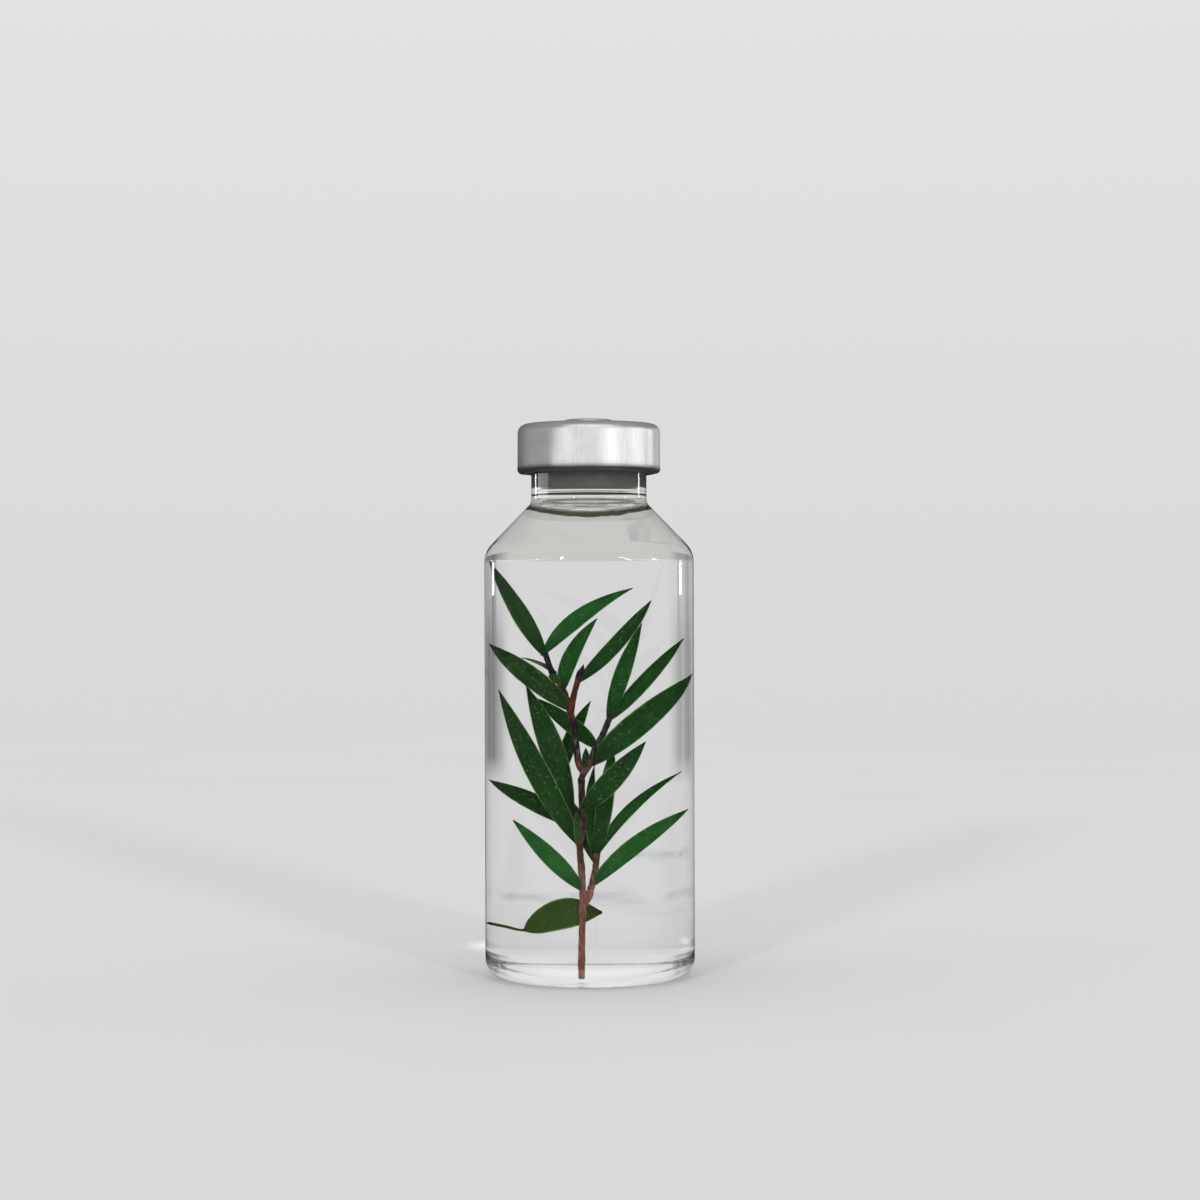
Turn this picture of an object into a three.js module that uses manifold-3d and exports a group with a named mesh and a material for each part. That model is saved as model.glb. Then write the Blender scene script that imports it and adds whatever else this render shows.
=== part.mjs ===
// Tea tree sprig in a stoppered glass vial: a leafy twig stands in clear liquid, under a rubber
// stopper held by a crimped aluminium cap. Millimetres, +Z up, origin on the axis at the foot.
import * as THREE from "three";
import { mergeVertices } from "three/addons/utils/BufferGeometryUtils.js";
import Module from "manifold-3d";

// Vial: driving dimensions
const BODY_RADIUS = 15;
const WALL = 1.25;
const PUSH_UP = 0.55;
const PUSH_UP_CURVE = [
  [0, 1],
  [0.5, 0.9],
  [0.9, 0.5],
  [1, 0],
];
const STANDING_RING = [11.2, 12.1];
const HEEL_RADIUS = 2.9;
const FLOOR = 1.2;
const INNER_HEEL_RADIUS = 1.9;
const SHOULDER_START = 59.3;
const SHOULDER_RADIUS = 3.9;
const SHOULDER_TURN = 44;
const INNER_SHOULDER_TURN = 48;
const NECK_RADIUS = 8.25;
const NECK_FILLET = 1.35;
const NECK_START = 68.4;
const BORE_RADIUS = 6.3;
const BORE_FILLET = 0.9;
const BORE_END = 67.6;
const LIP_RADIUS = 9.7;
const LIP_BOTTOM = 72.5;
const LIP_TOP = 75.8;
const LIP_ROUND = 0.4;

// Stopper, liquid and cap: driving dimensions
const SEAT_GAP = 0.3;
const PLUG_BOTTOM = 69.4;
const STOPPER_FLANGE_RADIUS = 9.4;
const STOPPER_TOP = 78.7;
const LIQUID_LEVEL = 66.3;
const CAP_RADIUS = 10.2;
const CAP_FLARE = 0.05;
const CAP_WALL = 0.3;
const CAP_TOP = 79.1;
const CAP_CORNER = 1.2;
const CAP_BOTTOM = 72;
const CRIMP_RADIUS = 0.7;
const CRIMP_LIP = 8.6;
const BUTTON_RADIUS = 3.5;
const BUTTON_HEIGHT = 0.7;
const BUTTON_EDGE = 0.5;
const BUTTON_DOME = 0.63;
const BUTTON_FOOT = 0.35;

// Sprig: driving dimensions
const STEM_SIDES = 6;
const STEM_HOLE_DEPTH = 2;
const BLADE_THICKNESS = 0.6;
const BLADE_CUP = 0.12;
const LENS_SHIFT = 0.9;
const LENS_POWER = 0.9;
const PETIOLE_WIDTH = 0.45;
const TIP_WIDTH = 0.3;
const ROOT_SINK = 0.5;
const CLEARANCE = 0.3;

const LATHE_SEGMENTS = 40;
const ARC_STEPS = 3;
const STEM_EXTRA_STEPS = 2;
const LEAF_STEPS = 6;
const LOW_LEAF_STEPS = 12;

// The woody parts, each as a line of [x, y, z] with its radius at the two ends. The twig leans:
// its foot stands near the front of the floor and its top is close to the middle.
const STEMS = {
  main: {
    radii: [0.4, 0.36],
    line: [
      [-1, -5.5, 1.5],
      [-0.95, -4.6, 6],
      [-0.8, -3.6, 11.3],
      [-0.9, -2.9, 15.2],
      [-1.1, -2.2, 19.2],
      [-0.8, -1.6, 22.1],
      [-0.9, -0.6, 28],
      [-0.7, -0.3, 29.4],
      [-1.2, 0, 30.9],
      [-1.7, 0.6, 35.9],
      [-2.1, 0.9, 38.6],
    ],
  },
  leftShoot: {
    radii: [0.36, 0.32],
    line: [
      [-2, 0.8, 38],
      [-2.6, 1.2, 40.6],
      [-3.2, 1.4, 42.3],
      [-4, 1.6, 43.9],
      [-4.6, 1.7, 46.4],
    ],
  },
  redShoot: {
    radii: [0.36, 0.3],
    line: [
      [-2, 0.8, 38],
      [-1.6, 0.6, 40.8],
      [-1.2, 0.4, 42.6],
      [-0.6, 0.2, 44.8],
    ],
  },
  rightShoot: {
    radii: [0.38, 0.34],
    line: [
      [-0.8, -0.5, 29],
      [-0.1, -0.4, 30.4],
      [0.7, -0.5, 33.1],
      [1.5, -0.6, 35],
      [2.2, -0.6, 37.2],
    ],
  },
  leftTwig: {
    radii: [0.38, 0.32],
    line: [
      [-1.1, -2.3, 18.9],
      [-1.9, -1.2, 22],
      [-2.7, -0.4, 26],
      [-3.1, 0.2, 29.3],
    ],
  },
  lowShoot: {
    radii: [0.42, 0.36],
    line: [
      [-0.7, -3.7, 10.8],
      [-0.2, -3.3, 11.9],
      [0.2, -3, 13.5],
      [0.6, -2.6, 15.7],
      [0.8, -2.1, 18.2],
    ],
  },
};

// Leaves, from root to tip. Width is at the broadest place. Bow bends a blade to its right, seen
// from the front with the root below, arch bends it towards the front, and turn, in degrees,
// rolls it about its own line.
const LEAVES = [
  { root: [-4.6, 1.7, 45.9], tip: [-10.7, 2, 59.4], width: 2.2, bow: 0, arch: 0.4, turn: 20 },
  { root: [-4.6, 1.7, 46.3], tip: [4.4, 3, 55.6], width: 2.1, bow: -1, arch: 0.4, turn: -15 },
  { root: [-2.7, 1.2, 41], tip: [0.9, -3, 51.3], width: 1.9, bow: -1, arch: 0.5, turn: 10 },
  { root: [-1.2, 0.4, 42.4], tip: [6.4, 2, 53.8], width: 2, bow: 0.5, arch: 0.4, turn: -20 },
  { root: [2.1, -0.6, 36.9], tip: [6, -2.5, 50.6], width: 1.9, bow: -0.3, arch: 0.3, turn: 15 },
  { root: [2.2, -0.6, 37], tip: [10.2, 1.5, 48.4], width: 2, bow: 0.1, arch: 0.5, turn: -15 },
  { root: [-0.1, -0.4, 30.4], tip: [12, 1, 43.3], width: 3.3, bow: -0.2, arch: 0.6, turn: 10 },
  { root: [-2.1, 0.9, 38.4], tip: [-11.2, 1.2, 47.7], width: 2.7, bow: 0.3, arch: 0.4, turn: -10 },
  { root: [-3.9, 1.6, 43.8], tip: [-6.6, 4.5, 45.7], width: 1.2, bow: 0.2, arch: 0, turn: 60 },
  { root: [-3.6, 1.5, 43.2], tip: [-2.9, -0.6, 41.6], width: 1, bow: 0.3, arch: 0.6, turn: 0 },
  { root: [0.7, -0.5, 33], tip: [-5.6, 3, 40], width: 2.1, bow: 0.2, arch: -0.8, turn: -10 },
  { root: [-2.1, -0.9, 23.4], tip: [-6.6, 2, 41.8], width: 2.8, bow: 0.3, arch: 0.3, turn: 15 },
  { root: [-1.2, -2.2, 19.4], tip: [-10.6, -1.5, 41.2], width: 2.9, bow: -0.3, arch: 0.9, turn: -5 },
  { root: [-3, 0.1, 28.8], tip: [-3.6, 1, 34.2], width: 1.1, bow: -0.1, arch: 0, turn: 20 },
  { root: [-3, 0.1, 28.9], tip: [0.1, 3, 39.5], width: 1.7, bow: -0.4, arch: -0.4, turn: -20 },
  { root: [-0.4, -0.4, 29.8], tip: [-0.4, 1.2, 32.9], width: 0.9, bow: 0, arch: 0, turn: 0 },
  { root: [-0.9, -1.2, 24], tip: [6.6, -4, 33.9], width: 2.7, bow: 0, arch: 0.5, turn: 10 },
  { root: [0.8, -2.2, 17.7], tip: [2.5, 0.5, 33.3], width: 2, bow: 0.1, arch: -0.3, turn: -15 },
  { root: [0.7, -2.3, 17.2], tip: [0.5, 2, 30.4], width: 1.3, bow: -0.6, arch: -0.4, turn: 25 },
  { root: [0.6, -2.4, 16.8], tip: [-2.9, 3, 26.9], width: 1.7, bow: 0.2, arch: -0.4, turn: -15 },
  { root: [-1.2, -2.3, 19.6], tip: [-1.4, -3.1, 24.2], width: 0.9, bow: -0.2, arch: 0.2, turn: 40 },
  { root: [-0.9, -1.7, 21.6], tip: [-11, 2, 28.2], width: 2.5, bow: 0.2, arch: -0.5, turn: 10 },
  { root: [-0.8, -3.3, 13], tip: [-9, -3, 22.8], width: 2.3, bow: 0.1, arch: 0.5, turn: 10 },
  { root: [0.8, -2.2, 17.6], tip: [9.7, 2, 29.3], width: 1.4, bow: -1.1, arch: 0.3, turn: -20 },
  { root: [0.2, -3, 13.5], tip: [11.4, 0, 24], width: 2.3, bow: -0.8, arch: 0.5, turn: 10 },
];

// The lowest leaf points to the right, crosses the stem on its far side, and its other end runs
// out in a thin tail towards the back wall.
const LOW_LEAF = {
  line: [
    [1.4, -3.9, 9.9],
    [-0.1, -3.7, 9.9],
    [-1.3, -3.3, 9.9],
    [-2.7, -1.8, 9.6],
    [-4.2, 0.4, 8.7],
    [-5.6, 2.6, 7.4],
    [-6.6, 4.2, 6.6],
    [-7.9, 5.8, 6.9],
    [-8.7, 7, 7.1],
  ],
  width: 4.3,
  bladeShare: 0.75,
};

const wasm = await Module();
wasm.setup();

const radians = (degrees) => (degrees * Math.PI) / 180;

// Points [radius, height] of an arc, from one angle to another.
function arc(centre, radius, from, to) {
  const points = [];
  for (let i = 0; i <= ARC_STEPS; i++) {
    const angle = radians(from + ((to - from) * i) / ARC_STEPS);
    points.push([centre[0] + radius * Math.cos(angle), centre[1] + radius * Math.sin(angle)]);
  }
  return points;
}

// A turned solid from a profile that starts and ends on the axis, outside first and bottom up.
function turned(profile) {
  const points = profile.map(([radius, height]) => new THREE.Vector2(radius, height));
  const geometry = new THREE.LatheGeometry(points, LATHE_SEGMENTS);
  geometry.rotateX(Math.PI / 2);
  return geometry;
}

// A closed skin over rings of equal length. Opposite sides split along the same diagonal.
function loft(rings) {
  const sides = rings[0].length;
  const faces = [];
  for (let i = 0; i + 1 < rings.length; i++) {
    for (let k = 0; k < sides; k++) {
      const a = i * sides + k;
      const b = i * sides + ((k + 1) % sides);
      const upperHalf = k < sides / 2;
      if (upperHalf) faces.push(a, b, b + sides, a, b + sides, a + sides);
      else faces.push(a, b, a + sides, b, b + sides, a + sides);
    }
  }
  const last = (rings.length - 1) * sides;
  for (let k = 1; k + 1 < sides; k++) faces.push(0, k + 1, k, last, last + k, last + k + 1);
  const geometry = new THREE.BufferGeometry().setFromPoints(rings.flat());
  return geometry.setIndex(faces);
}

function toManifold(geometry) {
  const bare = geometry.clone();
  bare.deleteAttribute("normal");
  bare.deleteAttribute("uv");
  const merged = mergeVertices(bare);
  const vertProperties = Float32Array.from(merged.attributes.position.array);
  const triVerts = Uint32Array.from(merged.index.array);
  const solid = new wasm.Manifold(new wasm.Mesh({ numProp: 3, vertProperties, triVerts }));
  if (solid.volume() < 0) throw new Error("a piece of the sprig faces inwards");
  return solid;
}

function toGeometry(solid) {
  const { vertProperties, triVerts } = solid.getMesh();
  const geometry = new THREE.BufferGeometry();
  geometry.setAttribute("position", new THREE.BufferAttribute(vertProperties, 3));
  geometry.setIndex(new THREE.BufferAttribute(triVerts, 1));
  return geometry;
}

// The vial's outer profile from the middle of its base to the top of its lip.
function vialOutside() {
  const [ringInner, ringOuter] = STANDING_RING;
  const shoulderCentre = [BODY_RADIUS - SHOULDER_RADIUS, SHOULDER_START];
  const neckCentre = [NECK_RADIUS + NECK_FILLET, NECK_START];
  const lipCentre = [LIP_RADIUS - LIP_ROUND, LIP_TOP - LIP_ROUND];
  return [
    ...PUSH_UP_CURVE.map(([across, up]) => [ringInner * across, PUSH_UP * up]),
    ...arc([ringOuter, HEEL_RADIUS], HEEL_RADIUS, -90, 0),
    ...arc(shoulderCentre, SHOULDER_RADIUS, 0, SHOULDER_TURN),
    ...arc(neckCentre, NECK_FILLET, 180 + SHOULDER_TURN, 180),
    [NECK_RADIUS, LIP_BOTTOM - LIP_ROUND],
    [NECK_RADIUS + LIP_ROUND, LIP_BOTTOM],
    [LIP_RADIUS - LIP_ROUND, LIP_BOTTOM],
    [LIP_RADIUS, LIP_BOTTOM + LIP_ROUND],
    ...arc(lipCentre, LIP_ROUND, 0, 90),
  ];
}

// The inside from the mouth down to the middle of the floor, at a distance from the glass.
function vialInside(gap) {
  const innerRadius = BODY_RADIUS - WALL;
  const shoulderCentre = [BODY_RADIUS - SHOULDER_RADIUS, SHOULDER_START];
  const boreCentre = [BORE_RADIUS + BORE_FILLET, BORE_END];
  const heelCentre = [innerRadius - INNER_HEEL_RADIUS, FLOOR + INNER_HEEL_RADIUS];
  return [
    ...arc(boreCentre, BORE_FILLET + gap, 180, 180 + INNER_SHOULDER_TURN),
    ...arc(shoulderCentre, SHOULDER_RADIUS - WALL - gap, INNER_SHOULDER_TURN, 0),
    ...arc(heelCentre, INNER_HEEL_RADIUS - gap, 0, -90),
    [0, FLOOR + gap],
  ];
}

function glassVial() {
  const mouth = [
    [BORE_RADIUS + LIP_ROUND, LIP_TOP],
    [BORE_RADIUS, LIP_TOP - LIP_ROUND],
  ];
  return turned([...vialOutside(), ...mouth, ...vialInside(0)]);
}

function stopper() {
  const plugRadius = BORE_RADIUS - SEAT_GAP;
  return turned([
    [0, PLUG_BOTTOM],
    [plugRadius - LIP_ROUND, PLUG_BOTTOM],
    [plugRadius, PLUG_BOTTOM + LIP_ROUND],
    [plugRadius, LIP_TOP],
    [STOPPER_FLANGE_RADIUS, LIP_TOP],
    [STOPPER_FLANGE_RADIUS, STOPPER_TOP - LIP_ROUND],
    [STOPPER_FLANGE_RADIUS - LIP_ROUND, STOPPER_TOP],
    [0, STOPPER_TOP],
  ]);
}

// The cap wraps the stopper's flange and the lip, and its edge is rolled in under the lip.
function crimpCap() {
  const skirt = CAP_RADIUS + CAP_FLARE;
  const crimpCentre = [skirt - CRIMP_RADIUS, CAP_BOTTOM + CRIMP_RADIUS];
  const cornerCentre = [CAP_RADIUS - CAP_CORNER, CAP_TOP - CAP_CORNER];
  return turned([
    [0, CAP_TOP - CAP_WALL],
    ...arc(cornerCentre, CAP_CORNER - CAP_WALL, 90, 0),
    ...arc(crimpCentre, CRIMP_RADIUS - CAP_WALL, 0, -90),
    [CRIMP_LIP, CAP_BOTTOM + CAP_WALL],
    [CRIMP_LIP, CAP_BOTTOM],
    ...arc(crimpCentre, CRIMP_RADIUS, -90, 0),
    ...arc(cornerCentre, CAP_CORNER, 0, 90),
    [BUTTON_RADIUS + BUTTON_FOOT, CAP_TOP],
    [BUTTON_RADIUS, CAP_TOP + BUTTON_EDGE],
    [BUTTON_RADIUS / 2, CAP_TOP + BUTTON_DOME],
    [0, CAP_TOP + BUTTON_HEIGHT],
  ]);
}

// One woody piece: a ring of points round each step of its line, grown by a margin.
function stem({ radii, line }, grow) {
  const points = line.map((p) => new THREE.Vector3(...p));
  const curve = new THREE.CatmullRomCurve3(points);
  const steps = line.length + STEM_EXTRA_STEPS;
  const rings = [];
  for (let i = 0; i <= steps; i++) {
    const along = curve.getTangent(i / steps);
    const across = new THREE.Vector3(1, 0, 0).addScaledVector(along, -along.x).normalize();
    const back = new THREE.Vector3().crossVectors(along, across);
    const centre = curve.getPoint(i / steps);
    if (i === 0) centre.addScaledVector(along, -STEM_HOLE_DEPTH * grow);
    if (i === steps) centre.addScaledVector(along, grow);
    const radius = THREE.MathUtils.lerp(radii[0], radii[1], i / steps) + grow;
    const ring = [];
    for (let k = 0; k < STEM_SIDES; k++) {
      const angle = (k / STEM_SIDES) * 2 * Math.PI;
      const side = across.clone().multiplyScalar(radius * Math.cos(angle));
      ring.push(side.addScaledVector(back, radius * Math.sin(angle)).add(centre));
    }
    rings.push(ring);
  }
  return loft(rings);
}

// Half the blade's width along its length: pointed at both ends, broadest just below the middle.
function halfWidth(t, width) {
  const shifted = Math.pow(t, LENS_SHIFT);
  const lens = Math.pow(4 * shifted * (1 - shifted), LENS_POWER);
  const least = THREE.MathUtils.lerp(PETIOLE_WIDTH, TIP_WIDTH, t);
  return Math.max(width * lens, least) / 2;
}

// The low leaf's width: a lens over the first part of its line, then a thin tail.
function lowHalfWidth(t, width) {
  const share = Math.min(t / LOW_LEAF.bladeShare, 1);
  return Math.max(width * Math.sin(Math.PI * share), PETIOLE_WIDTH) / 2;
}

// A blade along a curve, creased at its midrib. facing(t) says which way its upper side looks,
// and halfAt(t) gives half its width. A blade's hole has a plain section with room all round.
function blade(curve, halfAt, facing, steps, grow) {
  const rings = [];
  for (let i = 0; i <= steps; i++) {
    const t = i / steps;
    const along = curve.getTangent(t);
    const side = new THREE.Vector3().crossVectors(facing(t), along).normalize();
    const up = new THREE.Vector3().crossVectors(along, side);
    const centre = curve.getPoint(t);
    if (i === 0) centre.addScaledVector(along, -grow);
    if (i === steps) centre.addScaledVector(along, grow);
    const half = halfAt(t) + grow;
    const depth = BLADE_THICKNESS / 2 + grow;
    const lift = half * BLADE_CUP;
    const corner = (x, z) => centre.clone().addScaledVector(side, x).addScaledVector(up, z);
    const upperEdges = [corner(half, lift + depth), corner(-half, lift + depth)];
    const lowerEdges = [corner(-half, lift - depth), corner(half, lift - depth)];
    const plain = [...upperEdges, corner(-half, -depth), corner(half, -depth)];
    const creased = [
      upperEdges[0],
      corner(0, depth),
      upperEdges[1],
      lowerEdges[0],
      corner(0, -depth),
      lowerEdges[1],
    ];
    rings.push(grow > 0 ? plain : creased);
  }
  return loft(rings);
}

function leaf({ root, tip, width, bow, arch, turn }, grow) {
  const start = new THREE.Vector3(...root);
  const end = new THREE.Vector3(...tip);
  const chord = end.clone().sub(start).normalize();
  start.addScaledVector(chord, -ROOT_SINK);
  const side = new THREE.Vector3().crossVectors(chord, new THREE.Vector3(0, -1, 0)).normalize();
  const front = new THREE.Vector3().crossVectors(side, chord);
  const middle = start.clone().lerp(end, 0.5);
  middle.addScaledVector(side, 2 * bow).addScaledVector(front, 2 * arch);
  const curve = new THREE.QuadraticBezierCurve3(start, middle, end);
  const facing = front.clone().applyAxisAngle(chord, radians(turn));
  const halfAt = (t) => halfWidth(t, width);
  return blade(curve, halfAt, () => facing, LEAF_STEPS, grow);
}

function lowLeaf(grow) {
  const curve = new THREE.CatmullRomCurve3(LOW_LEAF.line.map((p) => new THREE.Vector3(...p)));
  const upright = new THREE.Vector3(0, 0, 1);
  const facing = (t) => new THREE.Vector3().crossVectors(upright, curve.getTangent(t));
  const halfAt = (t) => lowHalfWidth(t, LOW_LEAF.width);
  return blade(curve, halfAt, facing, LOW_LEAF_STEPS, grow);
}

// Stems and leaves grown together in one solid.
function sprig(grow) {
  const stems = Object.values(STEMS).map((piece) => stem(piece, grow));
  const leaves = LEAVES.map((piece) => leaf(piece, grow));
  const pieces = [...stems, ...leaves, lowLeaf(grow)];
  return pieces.map(toManifold).reduce((whole, piece) => whole.add(piece));
}

// The radius of a falling profile at a height between two of its points.
function radiusAt(profile, height) {
  const next = profile.findIndex((point) => point[1] < height);
  const [[highRadius, high], [lowRadius, low]] = profile.slice(next - 1, next + 1);
  return THREE.MathUtils.mapLinear(height, high, low, highRadius, lowRadius);
}

// The liquid fills the vial to just under the neck. The sprig stands in it in a hole of its own
// shape.
function liquid() {
  const inside = vialInside(SEAT_GAP);
  const wetted = inside.filter(([, height]) => height < LIQUID_LEVEL).reverse();
  const rim = [radiusAt(inside, LIQUID_LEVEL), LIQUID_LEVEL];
  const solid = toManifold(turned([...wetted, rim, [0, LIQUID_LEVEL]]));
  return solid.subtract(sprig(CLEARANCE));
}

function piece(name, geometry, material) {
  const mesh = new THREE.Mesh(geometry, new THREE.MeshStandardMaterial(material));
  mesh.name = name;
  return mesh;
}

const CLEAR_GLASS = { color: 0xe6ecea, roughness: 0.03, transparent: true, opacity: 0.3 };
const CLEAR_LIQUID = { color: 0xeef2f1, roughness: 0.02, transparent: true, opacity: 0.2 };
const GREY_RUBBER = { color: 0x5f5f58, roughness: 0.75 };
const SATIN_ALUMINIUM = { color: 0xb9babd, roughness: 0.38, metalness: 1 };
const LEAF_GREEN = { color: 0x1f4a22, roughness: 0.5 };

const bottle = new THREE.Group();
bottle.add(
  piece("glass_vial", glassVial(), CLEAR_GLASS),
  piece("rubber_stopper", stopper(), GREY_RUBBER),
  piece("crimp_cap", crimpCap(), SATIN_ALUMINIUM),
);

const contents = new THREE.Group();
contents.add(
  piece("liquid", toGeometry(liquid()), CLEAR_LIQUID),
  piece("tea_tree_sprig", toGeometry(sprig(0)), LEAF_GREEN),
);

const whole = new THREE.Group();
whole.add(bottle, contents);
export default whole;
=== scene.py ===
# Tea tree sprig in a stoppered glass vial, on a pale floor in soft studio light.
import math
import random

import bpy
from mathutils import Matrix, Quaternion, Vector, noise


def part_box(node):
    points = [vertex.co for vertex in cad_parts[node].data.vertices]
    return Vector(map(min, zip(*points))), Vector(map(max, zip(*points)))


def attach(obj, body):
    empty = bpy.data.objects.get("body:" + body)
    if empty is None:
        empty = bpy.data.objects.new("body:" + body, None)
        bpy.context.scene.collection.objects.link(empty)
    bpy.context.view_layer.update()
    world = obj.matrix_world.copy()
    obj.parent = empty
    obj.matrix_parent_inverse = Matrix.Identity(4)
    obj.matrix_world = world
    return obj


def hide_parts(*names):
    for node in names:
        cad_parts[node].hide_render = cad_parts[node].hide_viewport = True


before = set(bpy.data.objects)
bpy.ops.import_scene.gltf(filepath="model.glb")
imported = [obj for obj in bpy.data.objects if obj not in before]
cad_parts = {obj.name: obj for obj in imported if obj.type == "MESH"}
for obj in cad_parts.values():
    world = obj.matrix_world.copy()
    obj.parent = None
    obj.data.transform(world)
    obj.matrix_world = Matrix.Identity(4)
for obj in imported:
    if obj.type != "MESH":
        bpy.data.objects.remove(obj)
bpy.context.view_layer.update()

BODY = "root"
MM = 0.001

# Vial, in millimetres. The turned outlines are those of the solids, with finer arcs.
VIAL_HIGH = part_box("glass_vial")[1]
BODY_RADIUS = VIAL_HIGH.x / MM
LIP_TOP = VIAL_HIGH.z / MM
WALL = 1.25
PUSH_UP = 0.55
PUSH_UP_STEPS = 8
STANDING_RING = (11.2, 12.1)
HEEL_RADIUS = 2.9
FLOOR = 1.2
INNER_HEEL_RADIUS = 1.9
SHOULDER_START = 59.3
SHOULDER_RADIUS = 3.9
SHOULDER_TURN = 44
NECK_RADIUS = 8.25
NECK_FILLET = 1.35
NECK_START = 68.4
BORE_RADIUS = 7
BORE_FILLET = 0.9
BORE_END = 67.6
INNER_TURN = 48
LIP_RADIUS = 9.7
LIP_BOTTOM = 72.5
LIP_ROUND = 0.4
RIDGE_HEIGHT = 69.1
RIDGE_RADIUS = 0.3
RIDGE_DEPTH = 0.14
RIDGE_STEPS = 8
# Margin above the shoulder's start where its painted shade begins
SHOULDER_SHADE_MARGIN = 0.2
HOLD = 0.25

# Liquid, stopper and cap
LIQUID_LEVEL = 65.8
LIQUID_INSET = 0.02
MENISCUS_RISE = 1.1
MENISCUS_FALL = 0.75
MENISCUS_PLACES = (0, 0.06, 0.14, 0.25, 0.4, 0.6, 0.85, 1.2, 1.7, 2.4, 3.2, 4.2)
MENISCUS_STEEP = 8
# Where the painted dark crescent of shade lies on the shoulder glass
CRESCENT_LOW = 66.9
CRESCENT_DIP = 1.25
CRESCENT_RADIUS = 9.8
CRESCENT_UNEVEN = 0.25
STOPPER_SQUEEZE = 0.03
PLUG_BOTTOM = 69.8
PLUG_ROUND = 0.3
PLUG_HOLLOW_RADIUS = 3.9
PLUG_HOLLOW_DEPTH = 0.5
PLUG_HOLLOW_ROUND = 0.4
STOPPER_FLANGE_RADIUS = 9.4
FLANGE_GAP = 0.01
STOPPER_TOP = 78.75
CAP_RADIUS = 10.2
CAP_FLARE = 0.05
CAP_WALL = 0.25
CAP_TOP = 79.1
CAP_CORNER = 1.2
CAP_BOTTOM = 72
CRIMP_RADIUS = 0.7
CRIMP_LIP = 8.6
CRIMP_LIP_ROUND = 0.08
CRIMP_WAVES = 17
CRIMP_WAVE_DEPTH = 0.05
CRIMP_WAVE_REACH = 1.4
CRIMP_STEPS = 8
SKIRT_ROW = 1.2
# How fast the painted shade on the cap's rolled edge fades upwards
CRIMP_SHADE_FADE = 0.62
DENT_DEPTH = 0.06
DENTS_ROUND = 3
DENTS_UP = 0.4
CROWN_RING = 6.8
SCORE_RADIUS = 4.3
SCORE_DEPTH = 0.12
SCORE_SECTION = ((0.2, 0), (0.08, 0.7), (0, 1), (-0.08, 0.7), (-0.2, 0))
BUTTON_RADIUS = 3.5
BUTTON_HEIGHT = 0.7
BUTTON_EDGE = 0.45
BUTTON_ROUND = 0.35
BUTTON_DROOP = 0.02
BUTTON_RINGS = (2.6, 1.8, 0.9, 0)
BUTTON_FOOT = ((0.25, 0), (0.06, 0.1))

SEGMENTS = 160
STAGE_SEGMENTS = 96
ARC_STEPS = 12
SMALL_ARC_STEPS = 4
ON_AXIS = 1e-6

# Optics
GLASS_IOR = 1.49
LIQUID_IOR = 1.335
HEEL_GLOW = 0.05
STIPPLE_GLOW = 0.24
BLACK, WHITE = (0, 0, 0), (1, 1, 1)
CLEAR_TINT = (0.99, 0.995, 0.99)
# Painted shade: the grey of the sloping shoulder and the dark crescent below the neck
SHOULDER_PAINTED_SHADE = (0.74, 0.73, 0.695)
CRESCENT_PAINTED_SHADE = (0.012, 0.013, 0.006)
# Painted shade: the dark tint of the liquid's steep edge
MENISCUS_PAINTED_SHADE = (0.12, 0.125, 0.07)

# Sprig: the same lines and leaves as the solid's, with finer sections
STEM_SIDES = 14
STEM_STEP = 0.35
BARK_ROUGHNESS = 0.06
KNOT_SWELL = 0.05
KNOT_TURN = 1.15
KNOT_SHARPNESS = 6
STEMS = {
    "main": ((0.4, 0.36), [
        (-1, -5.5, 1.5), (-0.95, -4.6, 6), (-0.8, -3.6, 11.3), (-0.9, -2.9, 15.2),
        (-1.1, -2.2, 19.2), (-0.8, -1.6, 22.1), (-0.9, -0.6, 28), (-0.7, -0.3, 29.4),
        (-1.2, 0, 30.9), (-1.7, 0.6, 35.9), (-2.1, 0.9, 38.6),
    ]),
    "left_shoot": ((0.36, 0.32), [
        (-2, 0.8, 38), (-2.6, 1.2, 40.6), (-3.2, 1.4, 42.3), (-4, 1.6, 43.9), (-4.6, 1.7, 46.4),
    ]),
    "red_shoot": ((0.36, 0.3), [
        (-2, 0.8, 38), (-1.6, 0.6, 40.8), (-1.2, 0.4, 42.6), (-0.6, 0.2, 44.8),
    ]),
    "right_shoot": ((0.38, 0.34), [
        (-0.8, -0.5, 29), (-0.1, -0.4, 30.4), (0.7, -0.5, 33.1), (1.5, -0.6, 35),
        (2.2, -0.6, 37.2),
    ]),
    "left_twig": ((0.38, 0.32), [
        (-1.1, -2.3, 18.9), (-1.9, -1.2, 22), (-2.7, -0.4, 26), (-3.1, 0.2, 29.3),
    ]),
    "low_shoot": ((0.42, 0.36), [
        (-0.7, -3.7, 10.8), (-0.2, -3.3, 11.9), (0.2, -3, 13.5), (0.6, -2.6, 15.7),
        (0.8, -2.1, 18.2),
    ]),
}

BUD_TIPS = [(-0.6, 0.2, 44.8)]
BUD_LENGTH = 1.2
BUD_SWELL = 0.35
BUD_FULLEST = 1.3
BUD_SPREAD = 0.5
BUD_POINT = 0.05

# How russet the bark is, at shares of a height of so many millimetres
BARK_SPAN = 50
RUSSET_AT = (
    (0.28, 1), (0.36, 0.45), (0.46, 0.2), (0.6, 0), (0.63, 0.6), (0.67, 0), (0.75, 0), (0.78, 1),
    (0.87, 0.8), (0.9, 0),
)

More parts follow.
